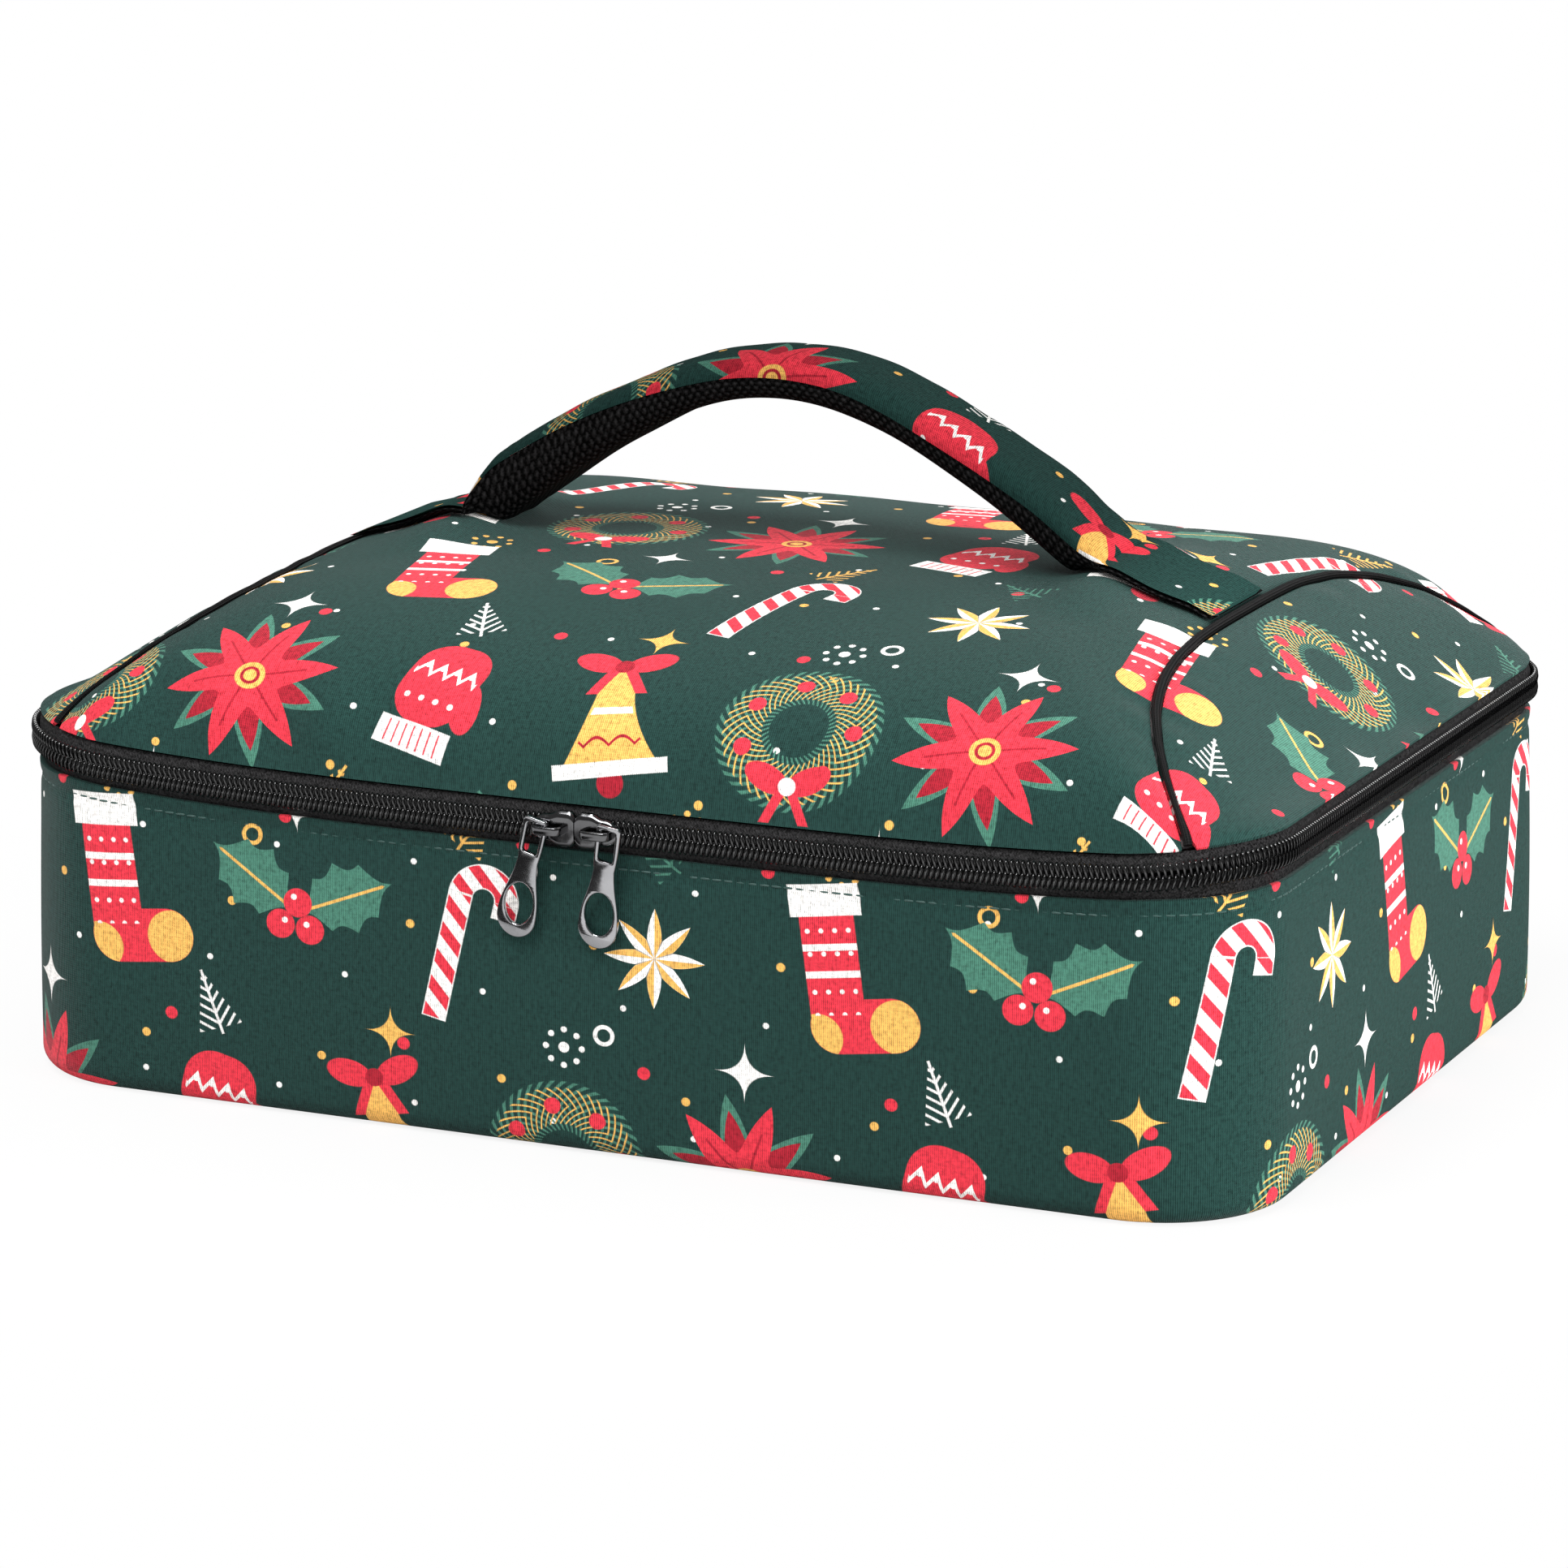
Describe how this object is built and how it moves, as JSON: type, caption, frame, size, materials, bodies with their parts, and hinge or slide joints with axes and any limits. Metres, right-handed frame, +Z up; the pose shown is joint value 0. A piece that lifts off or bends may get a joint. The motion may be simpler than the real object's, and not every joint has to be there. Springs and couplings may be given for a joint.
{
  "type": "casserole carrier",
  "caption": "Soft insulated rectangular food carrier with a zipped domed lid, piped end panels, a padded arched top handle and zip sliders with teardrop pulls.",
  "frame": {"origin": "middle of the bottom panel, on the surface it stands on", "axes": "+Z up, +X along the length, -Y the front with the zip sliders, hinge strip on +Y"},
  "size_m": [0.4018, 0.2995, 0.2135],
  "materials": {
    "printed_cloth": "printed plain-weave polyester",
    "foam": "closed-cell foam sheet",
    "lining": "silver film, slightly crinkled",
    "black_tape": "woven black tape and ribbed piping",
    "zip_coil": "moulded nylon coil",
    "mesh": "black air mesh",
    "black_nickel": "polished black nickel"
  },
  "bodies": {
    "base": {"base_wall_cloth": "printed_cloth", "base_bottom_cloth": "printed_cloth", "base_bottom_foam": "foam", "base_wall_foam": "foam", "base_wall_lining": "lining", "base_bottom_lining": "lining", "base_rim_binding": "black_tape", "zip_tape_lower": "black_tape", "zip_coil_lower": "zip_coil", "hinge_strip": "printed_cloth"},
    "lid": {"zip_tape_upper": "black_tape", "zip_coil_upper": "zip_coil", "lid_top_panel": "printed_cloth", "lid_end_panel_left": "printed_cloth", "lid_end_panel_right": "printed_cloth", "lid_foam": "foam", "lid_lining": "lining", "lid_rim_binding": "black_tape", "lid_piping_left": "black_tape", "lid_piping_right": "black_tape", "handle_tab_cover_left": "printed_cloth", "handle_tab_foam_left": "foam", "handle_tab_mesh_left": "mesh", "handle_tab_cover_right": "printed_cloth", "handle_tab_foam_right": "foam", "handle_tab_mesh_right": "mesh"},
    "handle": {"handle_cover": "printed_cloth", "handle_foam": "foam", "handle_mesh": "mesh"},
    "slider_left": {"slider_left": "black_nickel"},
    "slider_right": {"slider_right": "black_nickel"},
    "pull_left": {"pull_left": "black_nickel"},
    "pull_right": {"pull_right": "black_nickel"}
  },
  "joints": [
    {"name": "lid_hinge", "type": "hinge", "parent": "base", "child": "lid", "pos_m": [0, 0.1472, 0.104], "axis": [-1, 0, 0], "range_deg": [0, 150], "deforming": ["hinge_strip"]},
    {"name": "handle_sway", "type": "hinge", "parent": "lid", "child": "handle", "pos_m": [0, 0, 0.179], "axis": [1, 0, 0], "range_deg": [-45, 45], "stiffness_Nm_per_rad": 0.06},
    {"name": "slider_left_slide", "type": "slide", "parent": "base", "child": "slider_left", "axis": [-1, 0, 0.009], "range_m": [0, 0.125]},
    {"name": "slider_right_slide", "type": "slide", "parent": "base", "child": "slider_right", "axis": [1, 0, 0.0085], "range_m": [0, 0.132]},
    {"name": "pull_left_swing", "type": "hinge", "parent": "slider_left", "child": "pull_left", "pos_m": [-0.01565, -0.1497, 0.0972], "axis": [0, 1, 0], "range_deg": [-15, 25]},
    {"name": "pull_right_swing", "type": "hinge", "parent": "slider_right", "child": "pull_right", "pos_m": [0.00765, -0.1497, 0.0972], "axis": [0, 1, 0], "range_deg": [-49, 3]}
  ]
}
